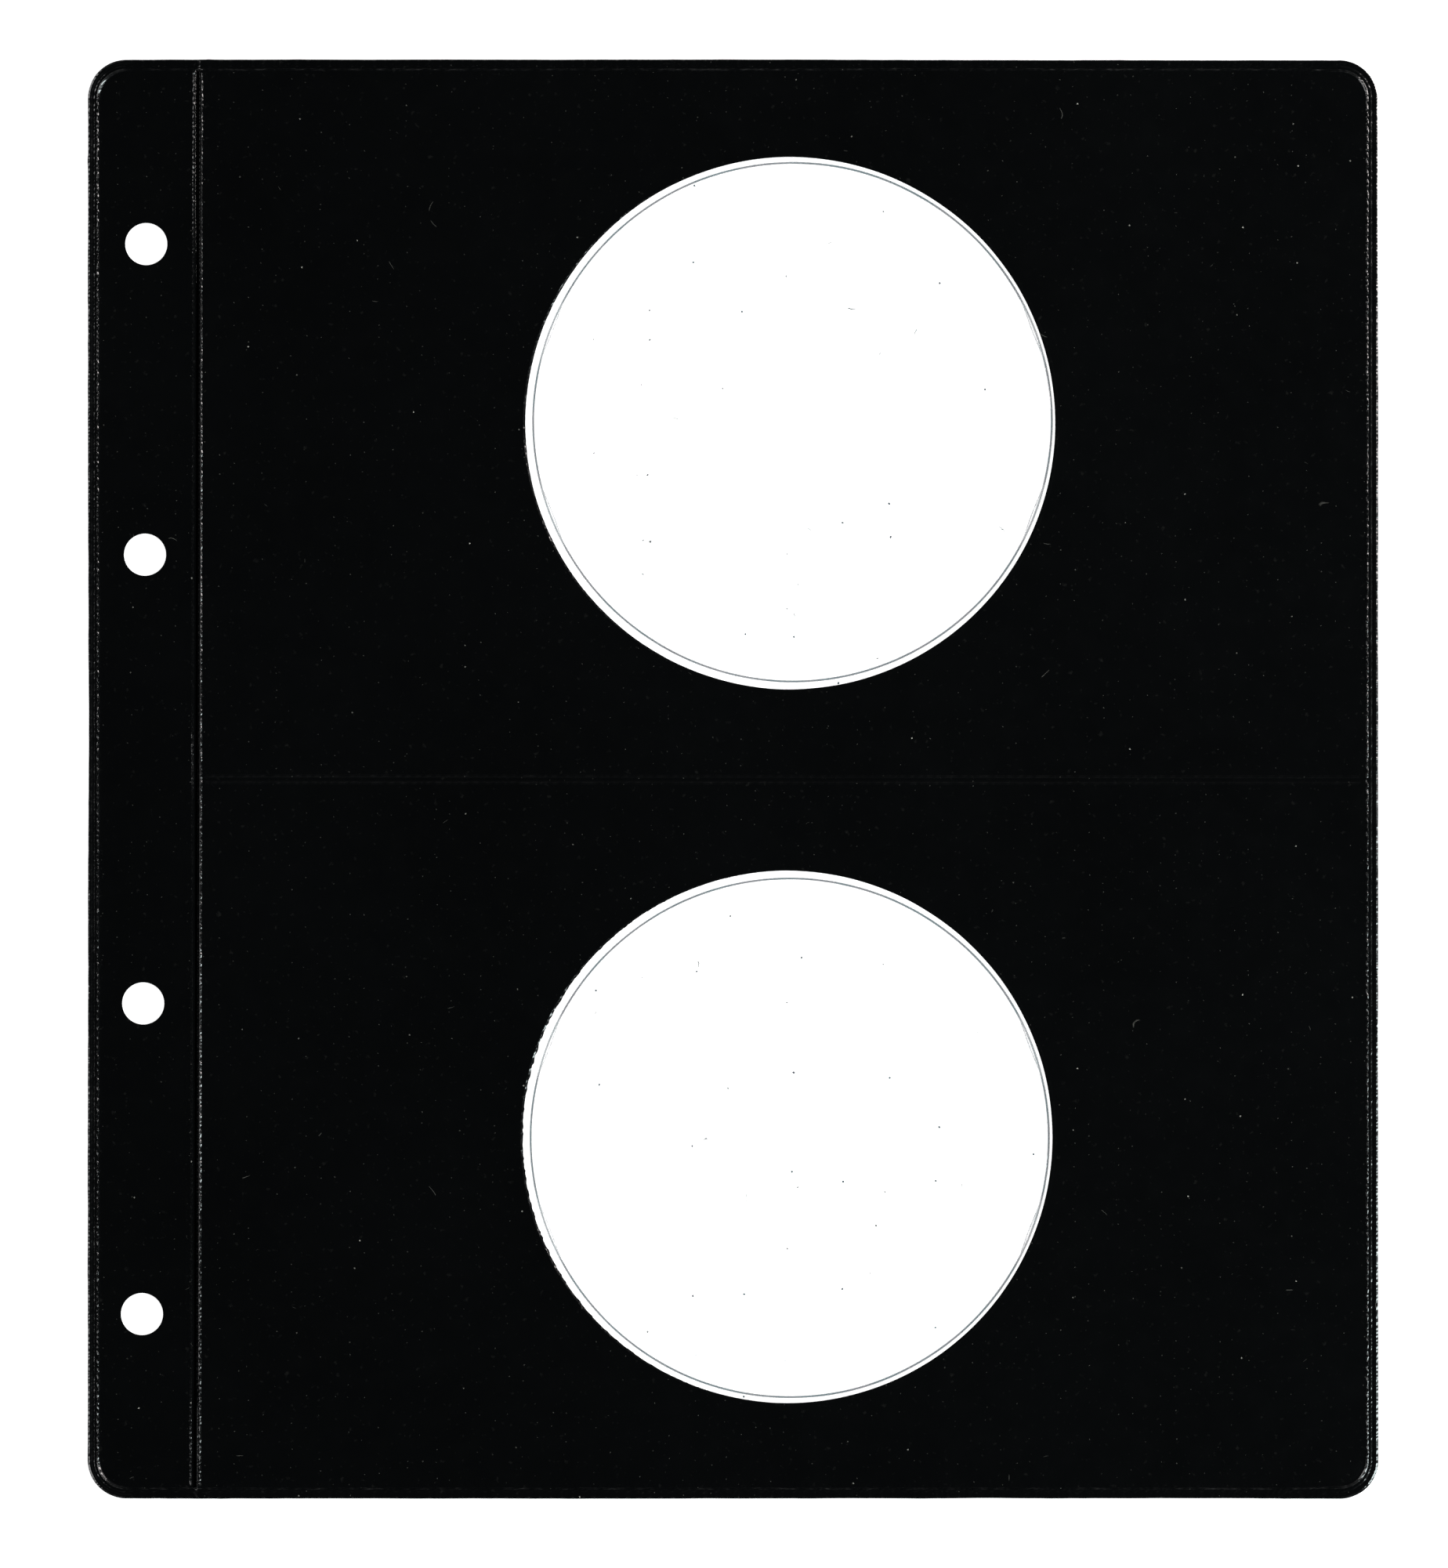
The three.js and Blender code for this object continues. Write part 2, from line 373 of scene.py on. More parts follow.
def spread(start, end, spacing, extra=()):
    """Places from start up to end, end left out, with any extra ones between them."""
    count = max(1, int(round(abs(end - start) / spacing)))
    places = np.linspace(start, end, count + 1)[:-1]
    extra = [e for e in extra if min(start, end) < e < max(start, end)]
    if extra:
        places = np.array([p for p in places if min(abs(p - e) for e in extra) > spacing / 4])
        places = np.sort(np.concatenate([places, extra]))
        if end < start:
            places = places[::-1]
    return places


def rounded_loop(low, high, radii, across=COARSE, along=FINE, low_extra=(), high_extra=()):
    """A rectangle with its corner radii in the order bottom right, top right, top left and bottom left."""
    (x0, y0), (x1, y1) = low, high
    right_low, right_high, left_high, left_low = radii
    points, inward = [], []

    def straight(xs, ys, normal):
        xs, ys = np.broadcast_arrays(xs, ys)
        points.append(np.stack([xs, ys], 1))
        inward.append(np.tile(normal, (len(xs), 1)))

    def arc(x, y, radius, start):
        count = max(1, int(round(radius * math.pi / 2 / along)))
        angle = math.radians(start) + np.arange(count) / count * math.pi / 2
        direction = np.stack([np.cos(angle), np.sin(angle)], 1)
        points.append(np.array([x, y]) + radius * direction)
        inward.append(-direction)

    straight(x1, spread(y0 + right_low, y1 - right_high, along), (-1.0, 0.0))
    arc(x1 - right_high, y1 - right_high, right_high, 0)
    straight(spread(x1 - right_high, x0 + left_high, across, high_extra), y1, (0.0, -1.0))
    arc(x0 + left_high, y1 - left_high, left_high, 90)
    straight(x0, spread(y1 - left_high, y0 + left_low, along), (1.0, 0.0))
    arc(x0 + left_low, y0 + left_low, left_low, 180)
    straight(spread(x0 + left_low, x1 - right_low, across, low_extra), y0, (0.0, 1.0))
    arc(x1 - right_low, y0 + right_low, right_low, 270)
    return np.concatenate(points), np.concatenate(inward)


def circle(middle, radius, spacing):
    """Points round a circle, counter-clockwise, and the direction away from its middle at each."""
    count = int(round(2 * math.pi * radius / spacing))
    angle = np.arange(count) / count * 2 * math.pi
    direction = np.stack([np.cos(angle), np.sin(angle)], 1)
    return middle + radius * direction, direction


def grid(xs, ys):
    gx, gy = np.meshgrid(xs, ys, indexing="ij")
    return np.stack([gx.ravel(), gy.ravel()], 1)


def inner_grid(low, high, spacing):
    """Sparse points inside a rectangle."""
    return grid(np.arange(low[0] + 2, high[0] - 1, spacing), np.arange(low[1] + 2, high[1] - 1, spacing))


def both_ways(halves):
    """Places at the same distances on both sides of a line, in order."""
    return np.sort(np.concatenate([-np.array(halves), halves]))


def inset_of(x, y):
    """How far a point lies inside the page's edge."""
    qx, qy = np.abs(x) - (RIGHT - CORNER_RADIUS), np.abs(y) - (TOP - CORNER_RADIUS)
    outside = np.hypot(np.maximum(qx, 0), np.maximum(qy, 0))
    return CORNER_RADIUS - outside - np.minimum(np.maximum(qx, qy), 0)


# Meshes

PAGE_SPAN = 220.0
SHARP_ANGLE = 50.0
MERGE_DISTANCE = 1e-7


def inside_loop(points, loop):
    """Whether each point lies inside a closed loop."""
    x, y = points[:, 0, None], points[:, 1, None]
    x0, y0 = loop[:, 0], loop[:, 1]
    x1, y1 = np.roll(x0, -1), np.roll(y0, -1)
    crosses = (y0 > y) != (y1 > y)
    with np.errstate(divide="ignore", invalid="ignore"):
        at = x0 + (y - y0) / (y1 - y0) * (x1 - x0)
    return (crosses & (x < at)).sum(1) % 2 == 1


def flat_mesh(rim, holes, lines, cloud):
    """Triangles that fill a closed rim round its holes, through closed lines and loose points.
    The points come back in that order: rim, holes, lines, cloud."""
    loops = [rim, *holes, *lines]
    points = np.concatenate([*loops, cloud]) if len(cloud) else np.concatenate(loops)
    edges, owner, start = [], np.full(len(points), -1), 0
    for number, loop in enumerate(loops):
        ring = np.arange(start, start + len(loop))
        edges += list(zip(ring.tolist(), np.roll(ring, -1).tolist()))
        owner[ring] = number
        start += len(loop)
    found = delaunay_2d_cdt([Vector(p) for p in points.tolist()], edges, [], 0, MERGE_DISTANCE, True)
    faces, sources = found[2:4]
    source = np.array([s[0] if s else -1 for s in sources])
    triangles = source[np.array(faces)]
    triangles = triangles[(triangles >= 0).all(1)]
    owners = owner[triangles]
    same = (owners[:, 0] == owners[:, 1]) & (owners[:, 1] == owners[:, 2])
    keep = np.ones(len(triangles), bool)
    middles = points[triangles].mean(1)
    for number in range(1 + len(holes)):
        doubtful = np.flatnonzero(same & (owners[:, 0] == number))
        if len(doubtful):
            within = inside_loop(middles[doubtful], loops[number])
            keep[doubtful] = within if number == 0 else ~within
    return points, triangles[keep]


def sheet_object(name, rim, holes, detail, cloud, plain, lines=(), plain_cloud=(), facing_up=True):
    """A closed sheet between a finely made face and a plain one.
    detail and plain give the height at x, y; facing_up is the side that the fine face is on."""
    fine, fine_triangles = flat_mesh(rim, holes, [], cloud)
    rough, rough_triangles = flat_mesh(rim, holes, lines, np.array(plain_cloud).reshape(-1, 2))
    if facing_up:
        rough_triangles = rough_triangles[:, ::-1]
    else:
        fine_triangles = fine_triangles[:, ::-1]
    walls, start = [], 0
    for number, loop in enumerate([rim, *holes]):
        ring = np.arange(start, start + len(loop))
        after = np.roll(ring, -1)
        quads = np.stack([ring + len(fine), after + len(fine), after, ring], 1)
        walls.append(quads if (number == 0) == facing_up else quads[:, ::-1])
        start += len(loop)
    places = [np.column_stack([p, height(*p.T)]) for p, height in ((fine, detail), (rough, plain))]
    faces = fine_triangles.tolist()
    faces += (rough_triangles + len(fine)).tolist()
    faces += np.concatenate(walls).tolist()
    return mesh_object(name, np.concatenate(places), faces)


def link_object(name, data):
    made = bpy.data.objects.new(name, data)
    bpy.context.scene.collection.objects.link(made)
    return made


def mesh_object(name, places, faces):
    """A smooth-shaded mesh whose texture coordinates are its places on the page."""
    mesh = bpy.data.meshes.new(name)
    mesh.from_pydata((places * MM).tolist(), [], faces)
    mesh.polygons.foreach_set("use_smooth", np.ones(len(mesh.polygons), bool))
    mesh.set_sharp_from_angle(angle=math.radians(SHARP_ANGLE))
    layer = mesh.uv_layers.new(name="page")
    corner = np.zeros(len(mesh.loops), int)
    mesh.loops.foreach_get("vertex_index", corner)
    layer.data.foreach_set("uv", (places[corner, :2] / PAGE_SPAN + 0.5).ravel())
    mesh.validate()
    return link_object(name, mesh)


def point_values(made, name, value):
    """Stores a number at every point of a mesh, worked out from its place in millimetres."""
    places = np.zeros(len(made.data.vertices) * 3, np.float32)
    made.data.vertices.foreach_get("co", places)
    x, y, z = places.reshape(-1, 3).T.astype(float) / MM
    layer = made.data.attributes.new(name, "FLOAT", "POINT")
    layer.data.foreach_set("value", value(x, y, z).astype(np.float32))


def level(height):
    """A flat face at that height."""
    return lambda x, y: np.full_like(x, height)


# The front sheet


def fold_line(y):
    return FOLD_X + FOLD_LEAN * y


def middle_line(x):
    return MIDDLE_SHIFT - MIDDLE_LEAN * (x - FOLD_X)


def ripple_phase(along, row):
    """How far along a bead the marks of the welding tool have come, as an angle."""
    return 2 * math.pi * along / RIPPLE_PERIOD + RIPPLE_SHIFT * hills_along("ripple", along, row)


def crest(along, row):
    """The height of a bead, which swells and thins along the weld and dips between the tool's marks."""
    marks = np.cos(2 * ripple_phase(along, row))
    share = CREST_LEVEL + CREST_SWELLING * hills_along("crest", along, row) + CREST_MARKS * marks
    return BEAD_HEIGHT * np.clip(share, LOWEST_CREST, 1.0)


def wobble(along, row):
    """How far a bead strays to its side."""
    depth = RIPPLE_DEPTH + RIPPLE_DEPTH_CHANGE * hills_along("ripple_depth", along, row)
    ripple = depth * np.sin(ripple_phase(along, row))
    ripple = ripple + RIPPLE_JITTER * hills_along("ripple_jitter", along, row)
    return RIPPLE_REACH * ripple + BEAD_DRIFT * hills_along("drift", along, row)


def lip_drop(x, y):
    """How far the sheet's edge turns down at the windows and the ring holes."""
    drop = np.zeros_like(x)
    for side in SIDES:
        away, facing = window_edge(x, y, side)
        uneven = 1 + LIP_GRAIN * hills("lip_grain", x, y) + LIP_WAVE * hills("lip_wave", x, y)
        run = LIP_RUN + LIP_RUN_GROWTH * facing
        drop += LIP_SLOPE * uneven * np.clip(run - away, 0, run)
    for cx, cy in RING_HOLES:
        away = np.hypot(x - cx, y - cy) - RING_DIAMETER / 2
        drop += RING_RIM_DROP * (1 - ramp(away, RING_RIM_RUN))
    return drop


def corner_share(x, y):
    """1 at the page's rounded corners and 0 along its straight edges."""
    beyond = np.minimum(np.abs(x) - RIGHT, np.abs(y) - TOP)
    return ramp(beyond + CORNER_RADIUS + CORNER_BLEND / 2, CORNER_BLEND)


def bead_inset(x):
    """The border's bead lies a little farther in along the free edge."""
    return BEAD_INSET + past(x, *FREE_EDGE_SHIFT)


def border_stray(x, y):
    return wobble(x + y, BORDER_BEAD) * (1 - corner_share(x, y))


def by_half(x, binding, free):
    """One value on the half of the page towards the binding strip and another on the other half."""
    return np.where(x > 0, free, binding)


def rim_bead(x, along, u):
    """The raised rim outside the pressed groove, lower along the free edge."""
    away = u - RIM_BEAD_INSET - RIM_BEAD_STRAY * wobble(along, RIM_BEAD)
    height = by_half(x, 1.0, FREE_RIM_SHARE) * RIM_BEAD_HEIGHT / BEAD_HEIGHT
    return height * crest(along, RIM_BEAD) * swell(away, RIM_BEAD_WIDTH)


def groove_ridge(x, along, away, row):
    """A low ridge in the pressed groove, nearly flat along the free edge."""
    uneven = 1 + RIDGE_GRAIN * hills_along("groove_ridge", along, row)
    height = by_half(x, *RIDGE_SHARES) * RIDGE_HEIGHT
    return height * uneven * tent(away, RIDGE_WIDTH)


def border_part(x, y, u):
    """The outer weld: a raised rim, a pressed groove and a bead along its inner side."""
    along = x + y
    low, high = BORDER_GROOVE
    groove = ramp(u - low, GROOVE_SHOULDER) * (1 - ramp(u - high + GROOVE_SHOULDER, GROOVE_SHOULDER))
    z = rim_bead(x, along, u) - GROOVE_DEPTH * groove - EDGE_DROP * (1 - ramp(u, EDGE_ROUND))
    for inset, row in GROOVE_RIDGES:
        z += groove_ridge(x, along, u - inset, row)
    corner = corner_share(x, y)
    beyond = u - bead_inset(x)
    falling = 1 - CORNER_FALL * np.clip(beyond / CORNER_RUN, 0, 1)
    falling += (CORNER_FALL - 1) * ramp(beyond - CORNER_RUN, CORNER_RECOVERY)
    broad = np.where(beyond < 0, tent(beyond, BEAD_WIDTH), falling)
    narrow = crest(along, BORDER_BEAD) * tent(beyond - border_stray(x, y), BEAD_WIDTH)
    return z + BEAD_HEIGHT * corner * broad + (1 - corner) * narrow


def strip_bead_strength(y):
    """The bead beside the binding strip is full at both ends of the page and faint between them."""
    return STRIP_BEAD_LEAST + past(y, *UPPER_GROWTH) + around(y, *MIDDLE_GROWTH) + past(-y, *LOWER_GROWTH)


def far_strength(y):
    """The bead farthest from the fold runs in broken stretches along the lower part of the strip."""
    stretches = FAR_SHARE + FAR_BREAKS * hills_along("far_breaks", y)
    return FAR_STRENGTH * (past(-y, *FAR_STRETCH) * np.clip(stretches, 0, 1))


def near_lower_end(y):
    """Where the bead on the panel's side is doubled."""
    return past(-y, *LOWER_BEAD_STRETCH)


def strip_part(x, y, across):
    """The beads on both sides of the fold at the binding strip."""
    away = across + STRIP_BEAD_OFFSET - wobble(y, STRIP_BEAD)
    z = strip_bead_strength(y) * crest(y, STRIP_BEAD) * tent(away, BEAD_WIDTH)
    away = x - FOLD_X - PANEL_BEAD_LEAN * y - PANEL_BEAD_OFFSET - wobble(y, PANEL_BEAD)
    z += PANEL_STRENGTH * crest(y, PANEL_BEAD) * tent(away, BEAD_WIDTH)
    away = across + FAR_OFFSET - FAR_STRAY * wobble(y, FAR_BEAD)
    z += far_strength(y) * crest(y, FAR_BEAD) * tent(away, BEAD_WIDTH)
    doubled = LOWER_STRENGTH * near_lower_end(y) * crest(y, LOWER_BEAD)
    return z + doubled * tent(across - LOWER_BEAD_OFFSET, LOWER_BEAD_WIDTH)


def middle_part(x, y):
    """The weld between the two pockets: a pressed band with a low bead on each side."""
    up = y - middle_line(x)
    z = -MIDDLE_DROP * (1 - past(np.abs(up), *MIDDLE_FLANK))
    for offset, row in MIDDLE_BEADS:
        away = up - offset - MIDDLE_BEAD_STRAY * wobble(x, row)
        z += MIDDLE_STRENGTH * crest(x, row) * tent(away, BEAD_WIDTH)
    return z


def fold_flank(y, across):
    """0 on the thin web of the fold and 1 outside the flanks of its groove."""
    strip_flank = STRIP_FLANK + past(y, *FLANK_WIDENING)
    panel_flank = PANEL_FLANK - FLANK_NARROWING * near_lower_end(y)
    on_strip = np.clip((-across - WEB_HALF) / strip_flank, 0, 1)
    return np.where(across > 0, ramp(across - WEB_HALF, panel_flank), on_strip)


def front_face(x, y):
    """The height of the page's face."""
    u = inset_of(x, y)
    across = x - fold_line(y)
    on_panel = across > 0
    within = ramp(u - BEAD_INSET + BEAD_WIDTH / 2, BEAD_WIDTH)
    climb = ramp(across + BORDER_CLIMB / 2, BORDER_CLIMB)
    climb = climb * (1 - within) + on_panel * within
    z = STRIP_FACE + (FACE - STRIP_FACE) * climb
    z += past(u, *SHEET_WAVE) * hills("sheet", x, y)
    crossing = swell(across, CROSSING_WIDTH) * (1 - within)
    z += border_part(x, y, u) * (1 - CROSSING_SHARE * crossing)
    z += within * strip_part(x, y, across)
    z += within * ramp(across - PANEL_BEAD_OFFSET, BEAD_WIDTH / 2) * middle_part(x, y)
    z = WEB_LEVEL + (z - WEB_LEVEL) * (fold_flank(y, across) * within + 1 - within)
    return np.minimum(z - lip_drop(x, y), np.where(on_panel, PANEL_HIGH[2], STRIP_HIGH[2]))


def pocket_loop(side, grow):
    """The edge of the space between the sheets that the films fill."""
    low = np.array([SEAM_HIGH[0], MIDDLE_WELD_HALF if side > 0 else POCKET_EDGE - TOP]) - grow
    high = np.array([RIGHT - POCKET_EDGE, TOP - POCKET_EDGE if side > 0 else -MIDDLE_WELD_HALF]) + grow
    return rounded_loop(low, high, (POCKET_CORNER + grow,) * 4, PLAIN, PLAIN)[0]


MARGIN = 0.01


def over_pocket(x, y):
    inside = (x > SEAM_HIGH[0] - MARGIN) & (x < RIGHT - POCKET_EDGE + MARGIN)
    inside &= (np.abs(y) > MIDDLE_WELD_HALF - MARGIN) & (np.abs(y) < TOP - POCKET_EDGE + MARGIN)
    return inside


def front_underside(x, y):
    return np.where(over_pocket(x, y), FRONT_FILM_TOP, SHEET)


def page_rim(spacing):
    """The page's outline, with points where the lines of the strip weld end at its top and bottom."""
    columns, lean = FOLD_X + np.array(STRIP_COLUMNS), FOLD_LEAN * TOP
    radii = (CORNER_RADIUS,) * 4
    return rounded_loop((-RIGHT, -TOP), (RIGHT, TOP), radii, COARSE, spacing, columns - lean, columns + lean)


def cut_stray(loop, inward):
    """How far inwards the cut edge strays at each point."""
    x, y = loop[:, 0], loop[:, 1]
    sides = by_half(x, past(y, *BINDING_CUT) + around(y, *BINDING_HOLLOW), past(y, *FREE_CUT))
    ends = np.where(y > 0, past(x, *TOP_CUT), around(x, *BOTTOM_HOLLOW))
    stray = CUT_STRAY + sides * np.abs(inward[:, 0]) + ends * np.abs(inward[:, 1])
    stray += CUT_WAVE * hills("cut_wave", x, y) + CUT_GRAIN * hills("cut_grain", x, y)
    for nib_x, nib_y, width in NIBS:
        stray *= 1 - NIB_SHARE * swell(np.hypot(x - nib_x, y - nib_y), width)
    return np.clip(stray, 0, None)


def ring_inside(loop, inward, inset):
    """Points at an inset from the page's edge, moved in with the cut where they lie close to it."""
    share = np.clip(1 - inset / CUT_REACH, 0, 1)
    return loop + inward * (inset + share * cut_stray(loop, inward))[:, None]


def window_rim(side):
    """A window's edge, standing in and frayed on the side towards the binding strip."""
    loop, outward = circle(window_middle(side), WINDOW_DIAMETER / 2, ROUND_STEP)
    facing = np.clip(-outward[:, 0], 0, 1)
    place = "upper" if side > 0 else "lower"
    nibs = np.clip(hills(place + "_nibs", *loop.T), 0, 1)
    wave = WINDOW_WAVE * hills(place + "_wave", *loop.T)
    return loop + outward * (wave - (WINDOW_LIP + WINDOW_FRAY[side] * nibs) * facing)[:, None], outward


def clear_of_holes(points, margin=1.5):
    keep = np.ones(len(points), bool)
    for side in SIDES:
        keep &= np.hypot(*(points - window_middle(side)).T) > WINDOW_DIAMETER / 2 + margin
    for middle in RING_HOLES:
        keep &= np.hypot(*(points - middle).T) > RING_DIAMETER / 2 + margin
    return points[keep]


def border_cloud(rim, inward):
    """Points in rings along the border weld, and closer ones along its bead."""
    rings = [ring_inside(rim, inward, u)[::2] for u in BORDER_INSETS]
    line = bead_inset(rim[:, 0])
    line = line + border_stray(*(rim + inward * line[:, None]).T)
    rings += [rim + inward * (line + step)[:, None] for step in BEAD_STEPS]
    return np.concatenate(rings)


def along_fold(columns, heights):
    """Points in columns that follow the line of the fold."""
    points = grid(columns, heights)
    points[:, 0] += fold_line(points[:, 1])
    return points


def along_middle(places, half_rows):
    """Points in rows on the line of the weld between the pockets and on both sides of it."""
    points = grid(places, np.sort(np.append(both_ways(half_rows), 0.0)))
    points[:, 1] += middle_line(points[:, 0])
    return points


def strip_cloud():
    """Points in columns along the strip weld, and closer ones along its beads."""
    low, high = BEAD_INSET + 0.5 - TOP, TOP - BEAD_INSET - 0.4
    heights = np.arange(low, high, FINE)
    strip_bead = fold_line(heights) - STRIP_BEAD_OFFSET + wobble(heights, STRIP_BEAD)
    panel_bead = FOLD_X + PANEL_BEAD_LEAN * heights + PANEL_BEAD_OFFSET + wobble(heights, PANEL_BEAD)
    lower = heights[heights < 2 - FAR_STRETCH[0]]
    stray = FAR_STRAY * wobble(lower, FAR_BEAD)
    far_bead = fold_line(lower) - FAR_OFFSET + stray
    parts = [along_fold(STRIP_COLUMNS, heights)]
    for line, ys, steps in (
        (strip_bead, heights, BEAD_STEPS),
        (panel_bead, heights, BEAD_STEPS),
        (far_bead, lower, BEAD_STEPS[1:-1:2]),
    ):
        parts += [np.stack([line + step, ys], 1) for step in steps]
    return np.concatenate(parts)


def middle_cloud():
    """Points in rows along the weld between the pockets."""
    start = FOLD_X + STRIP_COLUMNS[-1] + 0.4
    return along_middle(np.arange(start, RIGHT - BORDER_INSETS[-1], MIDDLE_STEP), MIDDLE_ROWS)


def open_cloud():
    """Sparse points on the open faces, which lie clear of the welds."""
    last = BORDER_INSETS[-1]
    strip = np.arange(last - RIGHT + 1.5, FOLD_X - 2, OPEN)
    panel = np.arange(FOLD_X + 3, RIGHT - last - 1, OPEN)
    lower, upper = np.arange(last - TOP + 1.5, -2, OPEN), np.arange(2.5, TOP - last - 1, OPEN)
    return clear_of_holes(grid(np.concatenate([strip, panel]), np.concatenate([lower, upper])))


def hole_rims(window, window_insets, ring_insets):
    """The edges of the windows and the ring holes, and rings of points round them."""
    holes, rims = [], []
    loops = [(*window(side), window_insets) for side in SIDES]
    loops += [(*circle(spot, RING_DIAMETER / 2, ROUND_STEP), ring_insets) for spot in RING_HOLES]
    for loop, outward, insets in loops:
        holes.append(loop)
        rims += [loop + outward * inset for inset in insets]
    return holes, rims


STEP_RUN = 0.03


def front_sheet():
    rim, inward = page_rim(FINE)
    holes, rims = hole_rims(window_rim, LIP_INSETS, RING_RIM_INSETS)
    cloud = np.concatenate([border_cloud(rim, inward), strip_cloud(), middle_cloud(), open_cloud(), *rims])
    lines = [pocket_loop(side, grow) for side in SIDES for grow in (0.0, STEP_RUN)]
    edge = ring_inside(rim, inward, 0.0)
    made = sheet_object("front_sheet", edge, holes, front_face, cloud, front_underside, lines)
    point_values(made, "weld", weld_marks)
    return made


BORDER_MARKS, FOLD_MARKS, LIP_MARKS = (0.2, 0.3), (1.0, 0.4), (0.3, 0.3)


def weld_marks(x, y, z):
    """How strongly the welding tool roughened the vinyl, from 0 to 1."""
    marks = 1 - past(inset_of(x, y) - BEAD_INSET, *BORDER_MARKS)
    marks = np.maximum(marks, 1 - past(np.abs(x - fold_line(y)), *FOLD_MARKS))
    for side in SIDES:
        marks = np.maximum(marks, 1 - past(window_edge(x, y, side)[0], *LIP_MARKS))
    return marks


# The back sheet


def back_face(x, y):
    """The outside of the back, with the welds' lines showing as shallow grooves."""
    u = inset_of(x, y)
    across = np.abs(x - fold_line(y))
    rise = around(u, *BACK_BORDER_RISE)
    rise = rise + BACK_FOLD_RISE * (1 - past(across, *BACK_FOLD_FLANK))
    rise += BACK_MIDDLE_RISE * swell(y - middle_line(x), BACK_MIDDLE_WIDTH) * ramp(x - FOLD_X, 1.0)
    return rise + BACK_EDGE_RISE * (1 - ramp(u, EDGE_ROUND))


def flap_loop(side, grow):
    """The outline of a flap, grown to that of its mouth. Its two corners at the root are square."""
    low = np.array([FLAP_LOW[0], FLAP_LOW[1] if side > 0 else -FLAP_HIGH[1]]) - grow
    high = np.array([FLAP_HIGH[0], FLAP_HIGH[1] if side > 0 else -FLAP_LOW[1]]) + grow
    radii = (FLAP_CORNER + grow, FLAP_CORNER + grow, SQUARE_CORNER, SQUARE_CORNER)
    return rounded_loop(low, high, radii, BACK_STEP, BACK_STEP)


def back_window_rim(side):
    return circle(window_middle(side), WINDOW_DIAMETER / 2 + BACK_WINDOW_MARGIN, BACK_STEP)


def back_open_cloud():
    """Sparse points on the open back, which lie clear of the welds and the mouths."""
    points = grid(np.arange(3 - RIGHT, RIGHT - 2, PLAIN), np.arange(3 - TOP, TOP - 2, PLAIN + 0.1))
    points = points[(np.abs(points[:, 0] - FOLD_X) > 1.5) & (np.abs(points[:, 1]) > 1.2)]
    for side in SIDES:
        points = points[~inside_loop(points, flap_loop(side, MOUTH_GAP + 0.5)[0])]
    return clear_of_holes(points)


def back_sheet():
    rim, inward = page_rim(COARSE)
    border = np.concatenate([ring_inside(rim, inward, u) for u in BACK_INSETS])
    strip = along_fold(both_ways(BACK_COLUMNS), np.arange(1.6 - TOP, TOP - 1.6, COARSE))
    middle = along_middle(np.arange(FOLD_X + 1.5, RIGHT - 1.6, 1.2), BACK_ROWS)
    holes, rims = hole_rims(back_window_rim, BACK_RIM_INSETS, BACK_RING_INSETS)
    holes += [flap_loop(side, MOUTH_GAP)[0] for side in SIDES]
    cloud = np.concatenate([border, strip, middle, back_open_cloud(), *rims])
    edge = ring_inside(rim, inward, 0.0)
    return sheet_object("back_sheet", edge, holes, back_face, cloud, level(SHEET), facing_up=False)


# The films


def seat_lines(x, y, side):
    """How far outside the pressed line of the coin seat a point lies, how far the painted shade of that line
    parts in two there (from 0 to 1), and how far inside it the second painted line runs."""
    cx, cy = seat_middle(side)
    dx, dy = x - cx, y - cy
    distance = np.hypot(dx, dy) - SEAT_DIAMETER / 2 + SEAT_WANDER * hills("seat", x, y)
    slant = np.degrees(np.arctan2(np.abs(dy), np.abs(dx)))
    parting = past(slant, *PARTING_START) * (1 - past(slant, *PARTING_END))
    return distance, parting, around(slant, *PARTING_GAP)


FILM_MARGIN = 0.02
SEAT_VALUES = ("seat_distance", "seat_parting", "seat_gap")
BENEATH_FILM = (9.0, 0.0, 0.0)


def store_seat(made, side):
    """Stores the place of the pressed line at the points of the film's face, for its painted shade."""
    for number, name in enumerate(SEAT_VALUES):

        def on_face(x, y, z):
            return np.where(z > FILM_MEETING + MARGIN, seat_lines(x, y, side)[number], BENEATH_FILM[number])

        point_values(made, name, on_face)


def front_film(side, name):
    rim = pocket_loop(side, -FILM_MARGIN)
    cloud = [circle(seat_middle(side), SEAT_DIAMETER / 2 + offset, SEAT_STEP)[0] for offset in SEAT_OFFSETS]
    sparse = inner_grid(rim.min(0), rim.max(0), PLAIN)
    ring_gap = np.abs(np.hypot(*(sparse - seat_middle(side)).T) - SEAT_DIAMETER / 2)
    cloud.append(sparse[ring_gap > SEAT_CLEAR])

    def face(x, y):
        distance = seat_lines(x, y, side)[0]
        bow = FRONT_FILM_BOW * (1 + hills("front_film", x, y)) * (1 - past(distance, *FRONT_BOW_END))
        return FRONT_FILM_TOP + bow - SEAT_DEPTH * swell(distance, SEAT_LINE_WIDTH)

    cloud = np.concatenate(cloud)
    made = sheet_object(name, rim, [], face, cloud, level(FILM_MEETING), plain_cloud=sparse[::3])
    store_seat(made, side)
    return made


def back_film(side, name):
    pocket = pocket_loop(side, -FILM_MARGIN)
    left, bottom, high = BACK_FILM_LOW[0], pocket.min(0)[1], pocket.max(0)
    radii = (POCKET_CORNER, POCKET_CORNER, FILM_END_CORNER, FILM_END_CORNER)
    rim = rounded_loop((left, bottom), high, radii, PLAIN, PLAIN)[0]
    sparse = inner_grid((left, bottom), high, PLAIN)

    def underside(x, y):
        return SHEET + BACK_FILM_BOW * (1 + hills("back_film", x, y))

    return sheet_object(name, rim, [], underside, sparse, level(FILM_MEETING), facing_up=False)


# The pocket flaps


